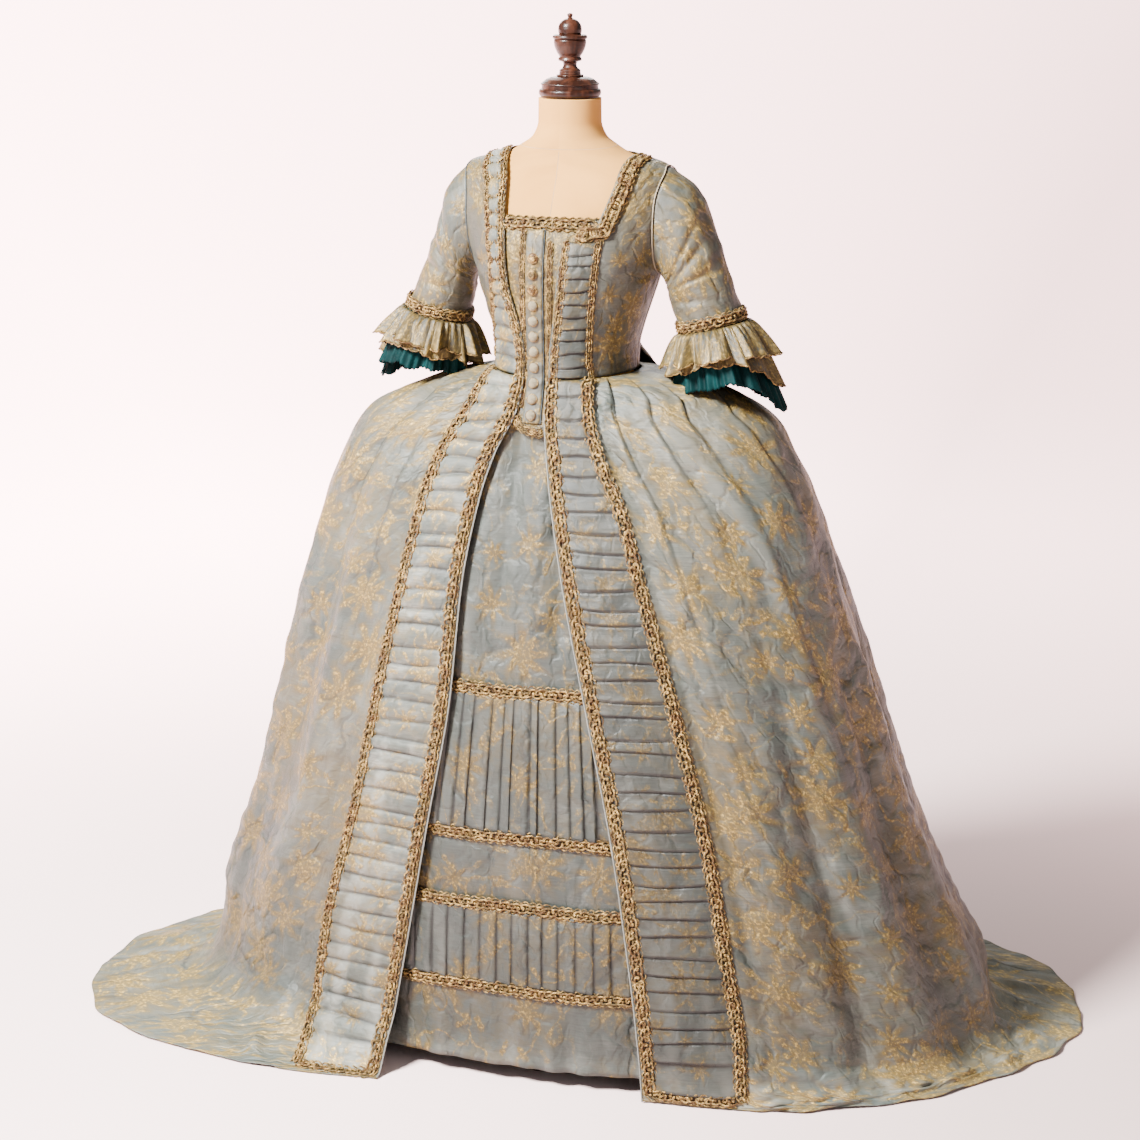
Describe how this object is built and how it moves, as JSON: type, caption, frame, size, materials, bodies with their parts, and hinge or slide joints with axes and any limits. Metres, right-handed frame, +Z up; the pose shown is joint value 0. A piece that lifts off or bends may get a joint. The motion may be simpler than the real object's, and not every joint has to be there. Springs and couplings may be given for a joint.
{
  "type": "robe a la francaise gown on a limbless dress form",
  "caption": "Open silk brocade gown with pleated back, train, flounced sleeves and trimmed petticoat, standing on a limbless dress form.",
  "frame": {"origin": "centre of the stand's flat underside, on the floor below the middle of the form", "axes": "+Z up, the front of the gown faces -Y and the wearer's left is +X"},
  "size_m": [1.6611, 1.0413, 1.65],
  "materials": {
    "brocade": "blue-grey figured silk with gold-coloured sprigs",
    "gold_braid": "antique gold gimp braid",
    "teal_silk": "dark teal silk, soft sheen",
    "covered_button": "cloth-covered domes in pale gold",
    "linen": "cream linen drawn tight over the form",
    "walnut": "dark stained and polished"
  },
  "bodies": {
    "root": {"bodice_back": "brocade", "bodice_braid_inner_left": "gold_braid", "bodice_braid_inner_right": "gold_braid", "bodice_braid_outer_left": "gold_braid", "bodice_braid_outer_right": "gold_braid", "bodice_front_left": "brocade", "bodice_front_right": "brocade", "button_1": "covered_button", "button_10": "covered_button", "button_11": "covered_button", "button_2": "covered_button", "button_3": "covered_button", "button_4": "covered_button", "button_5": "covered_button", "button_6": "covered_button", "button_7": "covered_button", "button_8": "covered_button", "button_9": "covered_button", "cuff_braid_left": "gold_braid", "cuff_braid_right": "gold_braid", "engageante_left": "teal_silk", "engageante_right": "teal_silk", "finial": "walnut", "flounce_left": "brocade", "flounce_right": "brocade", "form_torso": "linen", "neck_cap": "walnut", "petticoat_back": "brocade", "petticoat_braid_1": "gold_braid", "petticoat_braid_2": "gold_braid", "petticoat_braid_3": "gold_braid", "petticoat_braid_4": "gold_braid", "petticoat_flounce_lower": "brocade", "petticoat_flounce_upper": "brocade", "petticoat_front": "brocade", "petticoat_left": "brocade", "petticoat_right": "brocade", "placket": "brocade", "placket_braid": "gold_braid", "robing_bodice_left": "brocade", "robing_bodice_right": "brocade", "robing_skirt_left": "brocade", "robing_skirt_right": "brocade", "sack_back": "brocade", "skirt_braid_inner_left": "gold_braid", "skirt_braid_inner_right": "gold_braid", "skirt_braid_outer_left": "gold_braid", "skirt_braid_outer_right": "gold_braid", "skirt_left": "brocade", "skirt_right": "brocade", "sleeve_left": "brocade", "sleeve_right": "brocade", "stand_base": "walnut", "stand_pole": "walnut", "stomacher": "brocade", "stomacher_braid_point": "gold_braid", "stomacher_braid_top": "gold_braid"}
  },
  "joints": []
}
